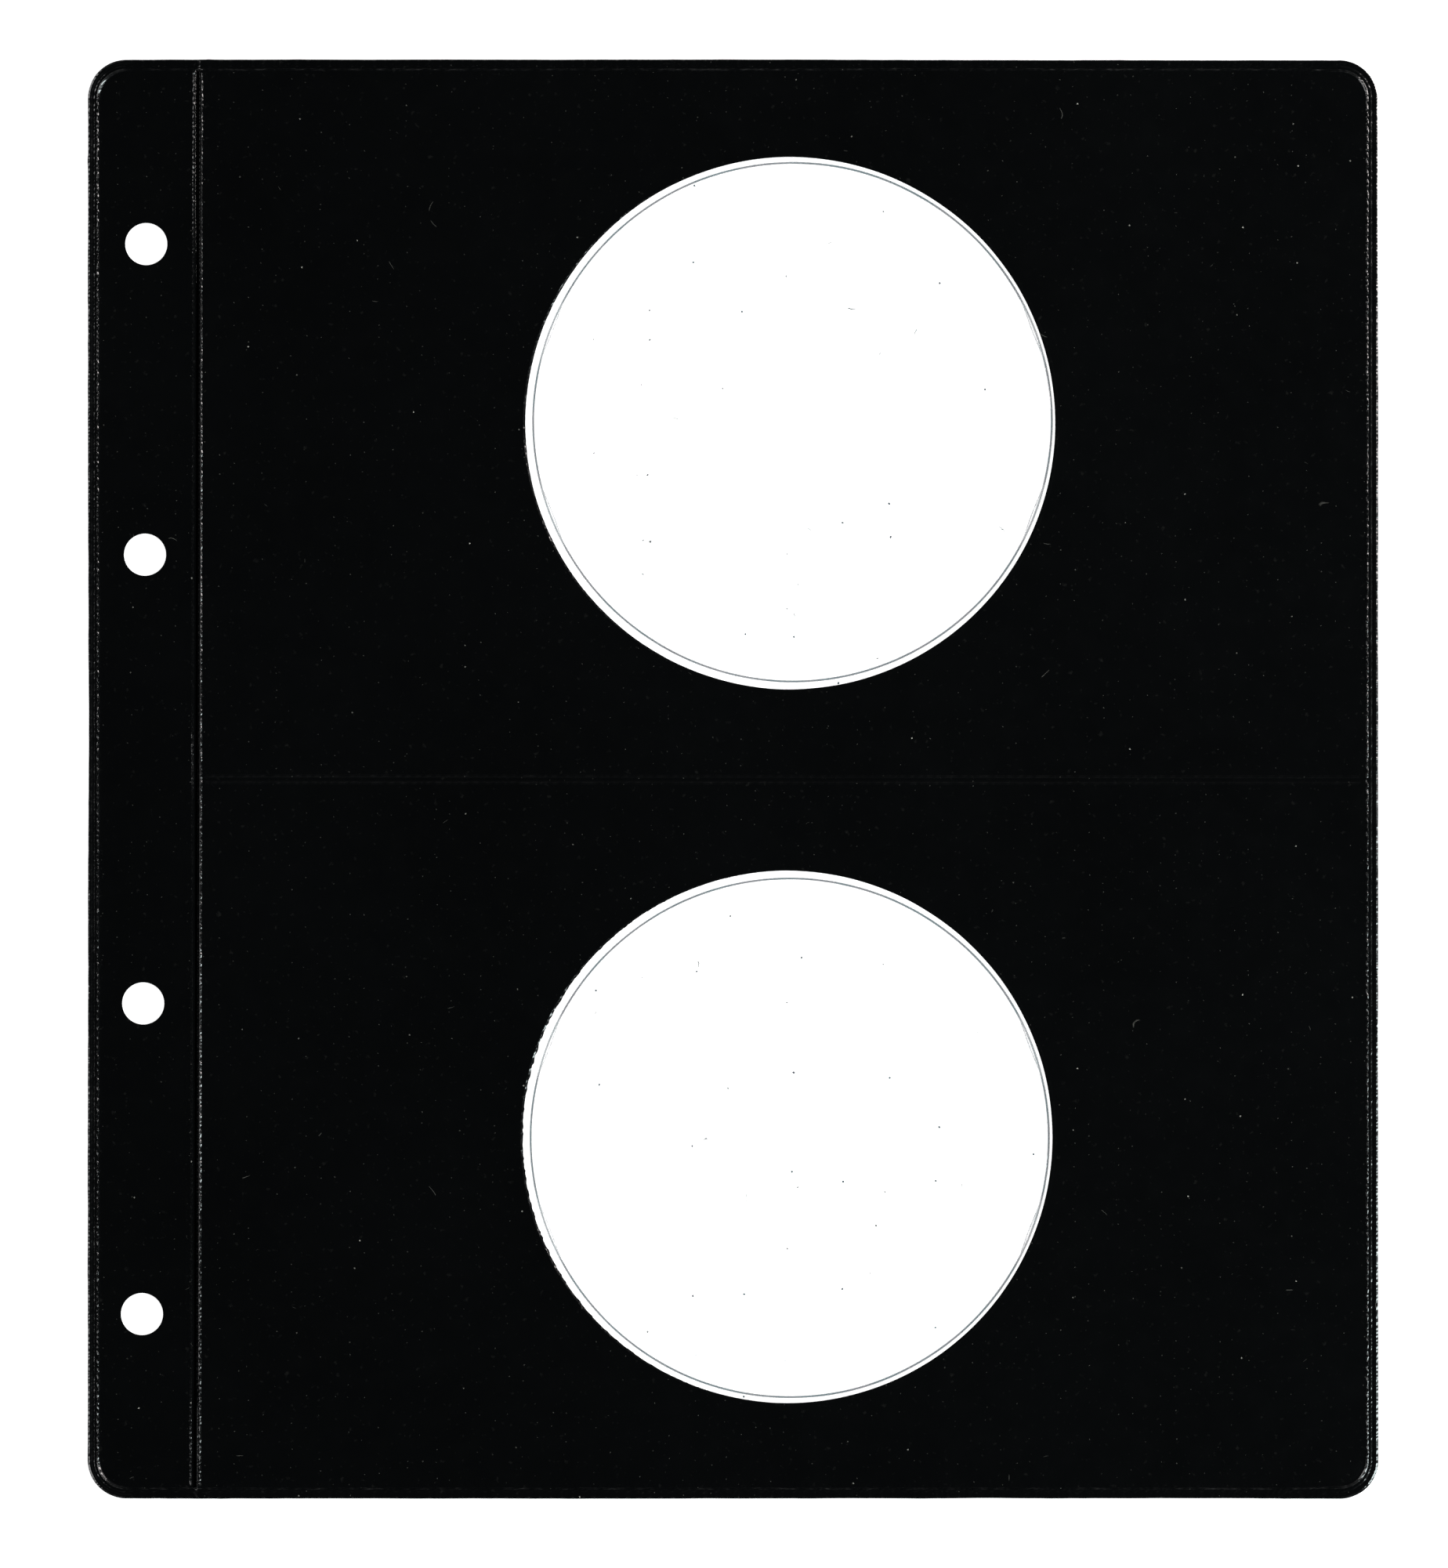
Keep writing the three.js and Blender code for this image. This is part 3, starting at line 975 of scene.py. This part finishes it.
def pocket_flap(side, name):
    """A tongue cut out of the back sheet, hanging on its edge towards the binding strip."""
    loop, inward = flap_loop(side, 0.0)
    root = FLAP_ROOT - FLAP_OVERLAP
    loop[loop[:, 0] < FLAP_LOW[0] + 0.2, 0] = root
    low, high = loop.min(0), loop.max(0)
    cloud = [loop + inward * inset for inset in FLAP_INSETS]
    cloud = [c[c[:, 0] > root + 1.2] for c in cloud]
    creases = root + np.array(CREASE_COLUMNS)
    cloud.append(grid(creases, np.arange(low[1] + 0.3, high[1] - 0.2, COARSE)))
    inner = inner_grid((root + 1, low[1]), high, 2.5)
    cloud.append(inner[inside_loop(inner, loop + inward * 0.8)])

    def outside(x, y):
        crease = around(x - root, *FLAP_CREASE)
        return crease + FLAP_TIP * (1 - ramp(high[0] - x, FLAP_TIP_RUN))

    inside = level(SHEET - FLAP_CLEARANCE)
    return sheet_object(name, loop, [], outside, np.concatenate(cloud), inside, facing_up=False)


# Shader nodes

# The range that most values of a noise lie in
NOISE_LOW, NOISE_HIGH = 0.3, 0.7


def add(near, kind, inputs=None, **settings):
    """A shader node in a tree, or beside another, with its settings and inputs.
    A node given as an input stands for its first output in use."""
    tree = near.id_data
    made = tree.nodes.new("ShaderNode" + kind)
    for name, value in settings.items():
        setattr(made, name, value)
    for name, value in (inputs or {}).items():
        if isinstance(value, bpy.types.Node):
            value = next(output for output in value.outputs if output.enabled)
        if isinstance(value, bpy.types.NodeSocket):
            tree.links.new(value, made.inputs[name])
        else:
            made.inputs[name].default_value = value
    return made


def new_material(name):
    material = bpy.data.materials.new(name)
    material.use_nodes = True
    material.node_tree.nodes.clear()
    return material, material.node_tree


def page_millimetres(tree):
    """Places on the page in millimetres, which stay with the vinyl when it bends."""
    place = add(tree, "UVMap", uv_map="page")
    return add(tree, "Mapping", {"Vector": place, "Scale": (PAGE_SPAN, PAGE_SPAN, PAGE_SPAN)})


def noise(place, size, detail):
    """Smooth noise with features of about that size."""
    return add(place, "TexNoise", {"Vector": place, "Scale": 1.0 / size, "Detail": detail})


def remap(value, low, high, to_low, to_high):
    inputs = {"Value": value, "From Min": low, "From Max": high, "To Min": to_low, "To Max": to_high}
    return add(value, "MapRange", inputs, clamp=True)


def uneven(place, size, detail, low, high):
    """A value that goes between low and high over the surface."""
    return remap(noise(place, size, detail), NOISE_LOW, NOISE_HIGH, low, high)


def maths(operation, *values):
    return add(values[0], "Math", dict(enumerate(values)), operation=operation)


def product(first, second):
    return maths("MULTIPLY", first, second)


def greatest(*values):
    result = values[0]
    for value in values[1:]:
        result = maths("MAXIMUM", result, value)
    return result


def blended(share, first, second):
    """A colour between two others."""
    return add(share, "Mix", {"Factor": share, "A": first, "B": second}, data_type="RGBA")


def mesh_value(near, name):
    return add(near, "Attribute", attribute_name=name, attribute_type="GEOMETRY").outputs["Fac"]


def line_at(distance, width):
    """A soft line where the distance is zero."""
    away = maths("ABSOLUTE", distance)
    return remap(away, width * 0.18, width * 0.5, 1.0, 0.0)


def ragged(place, size, reach):
    """Places with small random shifts, which make round specks uneven."""
    cloud = noise(place, size, 1.0).outputs["Color"]
    centred = add(place, "VectorMath", {0: cloud, 1: (0.5, 0.5, 0.5)}, operation="SUBTRACT")
    shift = add(place, "VectorMath", {0: centred, "Scale": reach}, operation="SCALE")
    return add(place, "VectorMath", {0: place, 1: shift}, operation="ADD")


def specks(place, spacing, radius, share):
    """Round specks on a share of the cells of a random lattice, each of its own strength."""
    inputs = {"Vector": place, "Scale": 1.0 / spacing, "Randomness": 1.0}
    cells = add(place, "TexVoronoi", inputs, voronoi_dimensions="2D")
    parts = add(cells, "SeparateColor", {"Color": cells.outputs["Color"]})
    reach = radius / spacing
    disc = remap(cells.outputs["Distance"], reach * 0.6, reach, 1.0, 0.0)
    strength = remap(parts.outputs["Red"], 1.0 - share, 1.0, 0.0, 1.0)
    return product(disc, product(strength, strength))


def hairs(place, size, width, share):
    """Short curved threads, where thin level lines of one noise cross the hills of another."""
    away = maths("SUBTRACT", noise(place, size, 0.0), 0.5)
    line = remap(maths("ABSOLUTE", away), width * 0.4, width, 1.0, 0.0)
    hill = noise(place, size * 0.45, 0.0)
    patch = remap(hill, 1.0 - share, 1.0 - share * 0.8, 0.0, 1.0)
    return product(line, patch)


def seen_directly(tree):
    """Whether light goes straight to the camera, a mirror image or what shows through clear pieces."""
    path = add(tree, "LightPath")
    rays = [path.outputs[name] for name in ("Is Camera Ray", "Is Glossy Ray", "Is Transmission Ray")]
    return greatest(*rays), path


# Materials, with sizes in millimetres

WHITE = (1, 1, 1, 1)
# Colour, roughness and share of the dust of the sheets' and the flaps' vinyl
SHEET_VINYL = ((0.0018, 0.0021, 0.0023), 0.17, 0.9)
FLAP_VINYL = ((0.0017, 0.002, 0.0022), 0.36, 0.4)
DARKEST, LIGHTEST = 0.9, 1.12
DUST_COLOUR = (0.42, 0.42, 0.38, 1)
SMALL_DUST, DUST_HAZE, LINT = 0.17, 0.019, 0.17
HAZE_SIZE, HAZE_PATCHES = 0.9, (0.64, 0.8)
# Ragged outlines by size and reach, specks by spacing, radius and share, lint by bend, width and share
RAGGED_ON_VINYL, RAGGED_ON_FILM = (0.35, 0.22), (0.4, 0.3)
LARGE_SPECKS, SMALL_SPECKS = (8.0, 0.12, 0.28), (2.1, 0.08, 0.5)
VINYL_LINT, FILM_LINT = (6.0, 0.004, 0.22), (7.0, 0.006, 0.24)
VINYL_IOR = 1.54
ROUGHNESS_SPREAD = 0.15

# Depths of the vinyl's fine relief, in hundredths of a millimetre
RELIEF_UNIT = 0.00001
PEEL_DEPTH = 0.9
KNURL_DEPTH, OPEN_KNURL_DEPTH = 6.0, 0.02
KNURL_SLANT = -0.45
KNURL_SIZE, PEEL_SIZE = 0.4, 2.4
KNURL_STRETCH = (0.65, 1.0, 1.0)

FILM_HAZE = (0.02, 0.045)
FILM_ROUGHNESS = (0.04, 0.12)
FILM_MIRROR = 0.034
MIRROR_STEEPNESS = 5.0
SPECK_COVER, HAIR_COVER = 0.85, 0.6
# How dark the painted shade of the coin seat's pressed line is, single, parted and on its second line, in
# place of the light the line bends away
MAIN_LINE_SHADE, PARTED_LINE_SHADE = 0.88, 0.72
INNER_LINE_SHADE = (0.42, 0.58)
# What lies on the film with the coin seat (True) and on the plain one (False); on the first the colours
# serve both its dust and the painted shade of the pressed line
FILM_SPECKS = {True: (7.0, 0.17, 0.34), False: (11.0, 0.17, 0.34)}
FILM_DUST_AND_SHADE_COLOURS = {
    True: ((0.04, 0.09, 0.11, 1), (0.1, 0.11, 0.13, 1)),
    False: ((0.16, 0.2, 0.2, 1), (0.22, 0.23, 0.24, 1)),
}


def dust_on_vinyl(place):
    """Specks of dust in two sizes, a thin uneven haze and lint."""
    scattered = ragged(place, *RAGGED_ON_VINYL)
    large = specks(scattered, *LARGE_SPECKS)
    small = product(specks(scattered, *SMALL_SPECKS), SMALL_DUST)
    haze = remap(noise(place, HAZE_SIZE, 3.0), *HAZE_PATCHES, 0.0, DUST_HAZE)
    lint = product(hairs(place, *VINYL_LINT), LINT)
    return greatest(large, small, haze, lint)


def vinyl_relief(place):
    """Slight orange peel all over, and the slanted knurl of the tool along the welds."""
    slanted = add(place, "Mapping", {"Vector": place, "Rotation": (0.0, 0.0, KNURL_SLANT)})
    knurl = add(place, "Mapping", {"Vector": slanted, "Scale": KNURL_STRETCH})
    depth = remap(mesh_value(place, "weld"), 0.0, 1.0, OPEN_KNURL_DEPTH, KNURL_DEPTH)
    marks = product(noise(knurl, KNURL_SIZE, 0.0), depth)
    relief = maths("ADD", product(noise(place, PEEL_SIZE, 1.0), PEEL_DEPTH), marks)
    return add(place, "Bump", {"Height": relief, "Strength": 1.0, "Distance": RELIEF_UNIT})


def vinyl(name, shade, roughness, dust):
    """Black vinyl with a slight orange peel, dust and lint."""
    material, tree = new_material(name)
    place = page_millimetres(tree)
    dark, light = ([c * share for c in shade] + [1] for share in (DARKEST, LIGHTEST))
    deep = blended(uneven(place, 30.0, 3.0, 0.0, 1.0), dark, light)
    cover = remap(dust_on_vinyl(place), 0.0, 1.0, 0.0, dust)
    low, high = roughness * (1 - ROUGHNESS_SPREAD), roughness * (1 + ROUGHNESS_SPREAD)
    inputs = {
        "Base Color": blended(cover, deep, DUST_COLOUR),
        "Roughness": uneven(place, 4.0, 4.0, low, high),
        "Normal": vinyl_relief(place),
        "IOR": VINYL_IOR,
    }
    add(tree, "OutputMaterial", {"Surface": add(tree, "BsdfPrincipled", inputs)})
    return material


def seat_line_shade(place):
    """Painted shade along the pressed line of the coin seat, for the light it bends away, where single and
    where parting in two.
    """
    distance, parting, gap = (mesh_value(place, name) for name in SEAT_VALUES)
    strength = remap(parting, 0, 1, MAIN_LINE_SHADE, PARTED_LINE_SHADE)
    main = product(line_at(distance, SEAT_LINE_WIDTH), strength)
    dashes = remap(noise(place, 0.5, 0.0), 0.4, 0.55, *INNER_LINE_SHADE)
    inner = line_at(maths("ADD", distance, gap), INNER_LINE_WIDTH)
    return greatest(main, product(inner, product(parting, dashes)))


def film_material(name, with_seat):
    """Clear vinyl film with haze and dust, and on the front films the grey line of the coin seat as painted
    shade.
    """
    material, tree = new_material(name)
    place = page_millimetres(tree)
    scattered = ragged(place, *RAGGED_ON_FILM)
    dust = remap(specks(scattered, *FILM_SPECKS[with_seat]), 0.0, 0.4, 0.0, SPECK_COVER)
    lint = product(hairs(scattered, *FILM_LINT), HAIR_COVER)
    cover = greatest(uneven(place, 12.0, 2.0, *FILM_HAZE), greatest(dust, lint))
    # The coin seat's line is painted shade, standing in for the light that the pressed line bends away
    if with_seat:
        cover = greatest(cover, seat_line_shade(place))
    share = remap(noise(place, 5.0, 1.0), 0.4, 0.6, 0.0, 1.0)
    dust_and_shade_tint = blended(share, *FILM_DUST_AND_SHADE_COLOURS[with_seat])
    clear = add(tree, "BsdfTransparent", {"Color": WHITE})
    body = add(tree, "MixShader", {0: cover, 1: clear, 2: add(tree, "BsdfDiffuse", {"Color": dust_and_shade_tint})})
    gloss = add(tree, "BsdfGlossy", {"Roughness": uneven(place, 3.0, 3.0, *FILM_ROUGHNESS)})
    slant = add(tree, "LayerWeight", {"Blend": 0.5}).outputs["Facing"]
    mirror = remap(maths("POWER", slant, MIRROR_STEEPNESS), 0.0, 1.0, FILM_MIRROR, 1.0)
    add(tree, "OutputMaterial", {"Surface": add(tree, "MixShader", {0: mirror, 1: body, 2: gloss})})
    return material


# The studio, in metres

TABLE_HALF = 6.0
TABLE_LEVEL = -0.00004
TABLE_TONES = (0.86, 0.9)
TABLE_GRAIN = 0.05
TABLE_GLOW, GLOW_BEHIND_FILM = 0.75, 1.2
SKY_LOW, SKY_HIGH = 0.05, 0.95
SKY_STOPS = ((0.26, 0.45), (0.5, 0.14), (0.75, 0.025))
SKY_FILL = 0.15
LAMP_DISTANCE = 1.0
LAMP_WIDTH, LAMP_HEIGHT = 0.5, 0.24
LAMP_ELEVATION = 30.0
# Azimuth, power and colour of two lamps beyond the free edge and two beyond the binding strip
LAMPS = (
    ("lamp_right_low", -25.0, 8.0, (0.88, 1.0, 1.0)),
    ("lamp_right_high", 25.0, 8.0, (1.0, 0.93, 0.91)),
    ("lamp_left_high", 155.0, 1.9, (1.0, 1.0, 1.0)),
    ("lamp_left_low", 205.0, 1.9, (1.0, 1.0, 1.0)),
)


def table_material():
    """A pale table with the page's shadow on it, white to the camera, in mirrors and through films."""
    material, tree = new_material("pale_table")
    place = add(tree, "TexCoord").outputs["Object"]
    tone = uneven(place, TABLE_GRAIN, 3.0, *TABLE_TONES)
    colour = add(tree, "CombineColor", {"Red": tone, "Green": tone, "Blue": tone})
    matt = add(tree, "BsdfDiffuse", {"Color": colour})
    seen, path = seen_directly(tree)
    behind_film = maths("MINIMUM", path.outputs["Transparent Depth"], 1.0)
    white = remap(behind_film, 0.0, 1.0, TABLE_GLOW, GLOW_BEHIND_FILM)
    glow = add(tree, "Emission", {"Strength": product(seen, white)})
    add(tree, "OutputMaterial", {"Surface": add(tree, "AddShader", {0: matt, 1: glow})})
    return material


def make_table():
    mesh = bpy.data.meshes.new("table")
    sides = ((-1, -1), (1, -1), (1, 1), (-1, 1))
    mesh.from_pydata([(x * TABLE_HALF, y * TABLE_HALF, TABLE_LEVEL) for x, y in sides], [], [(0, 1, 2, 3)])
    table = link_object("table", mesh)
    mesh.materials.append(table_material())


def make_world():
    """A pale backdrop round the horizon under a dark ceiling, with a weak even fill."""
    world = bpy.data.worlds.new("studio")
    bpy.context.scene.world = world
    world.use_nodes = True
    tree = world.node_tree
    tree.nodes.clear()
    direction = add(tree, "TexCoord").outputs["Generated"]
    height = add(tree, "SeparateXYZ", {"Vector": direction}).outputs["Z"]
    sky = add(tree, "ValToRGB", {"Fac": height})
    stops = sky.color_ramp
    stops.interpolation = "EASE"
    stops.elements[0].position, stops.elements[0].color = SKY_LOW, WHITE
    stops.elements[1].position, stops.elements[1].color = SKY_HIGH, (0, 0, 0, 1)
    for position, grey in SKY_STOPS:
        stops.elements.new(position).color = (grey, grey, grey, 1)
    fill = add(tree, "Background", {"Color": WHITE, "Strength": SKY_FILL})
    both = {0: seen_directly(tree)[0], 1: fill, 2: add(tree, "Background", {"Color": sky})}
    add(tree, "OutputWorld", {"Surface": add(tree, "MixShader", both)})


def make_lamp(name, azimuth, power, colour):
    data = bpy.data.lights.new(name, "AREA")
    data.shape = "RECTANGLE"
    data.size, data.size_y = LAMP_WIDTH, LAMP_HEIGHT
    data.energy = power
    data.color = colour
    lamp = link_object(name, data)
    a, e = math.radians(azimuth), math.radians(LAMP_ELEVATION)
    away = Vector((math.cos(a) * math.cos(e), math.sin(a) * math.cos(e), math.sin(e)))
    lamp.location = away * LAMP_DISTANCE
    lamp.rotation_euler = (-away).to_track_quat("-Z", "Y").to_euler()


def make_camera():
    data = bpy.data.cameras.new("camera")
    camera = link_object("camera", data)
    x = (IMAGE_WIDTH / 2 - PAGE_MIDDLE_PIXEL[0]) / PIXELS_PER_MM
    y = (PAGE_MIDDLE_PIXEL[1] - IMAGE_HEIGHT / 2) / PIXELS_PER_MM
    camera.location = (x * MM, y * MM, CAMERA_HEIGHT * MM)
    view_height = IMAGE_HEIGHT / PIXELS_PER_MM
    data.lens = data.sensor_width * (CAMERA_HEIGHT - FACE) / view_height
    data.clip_start, data.clip_end = CLIP_START, CLIP_END
    bpy.context.scene.camera = camera


# Put together


def dressed(made, material, slot, *nodes):
    """A piece with its material, in place of its CAD nodes."""
    made.data.materials.append(material)
    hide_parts(*nodes)
    return made


def make_page():
    black = vinyl("black_vinyl", *SHEET_VINYL)
    flap_black = vinyl("flap_vinyl", *FLAP_VINYL)
    seat_film = film_material("front_film", True)
    plain_film = film_material("back_film", False)
    front = "front_strip_sheet", "front_panel_sheet", "strip_weld_seam"
    back = "back_strip_sheet", "back_panel_sheet"
    for sheet, nodes in ((front_sheet(), front), (back_sheet(), back)):
        made = dressed(sheet, black, "black_vinyl", *nodes)
        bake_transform(made)
    for place, side in zip(("upper", "lower"), SIDES):
        film = front_film(side, place + "_front_window_film")
        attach(dressed(film, seat_film, "clear_film", place + "_front_film"), "panel")
        film = back_film(side, place + "_back_window_film")
        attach(dressed(film, plain_film, "clear_film", place + "_back_film"), "panel")
        flap = pocket_flap(side, place + "_flap_tongue")
        flap = dressed(flap, flap_black, "flap_vinyl", place + "_pocket_flap")
        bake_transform(flap)


make_page()
make_table()
make_world()
for lamp in LAMPS:
    make_lamp(*lamp)
make_camera()
bpy.context.scene.view_settings.view_transform = "Standard"
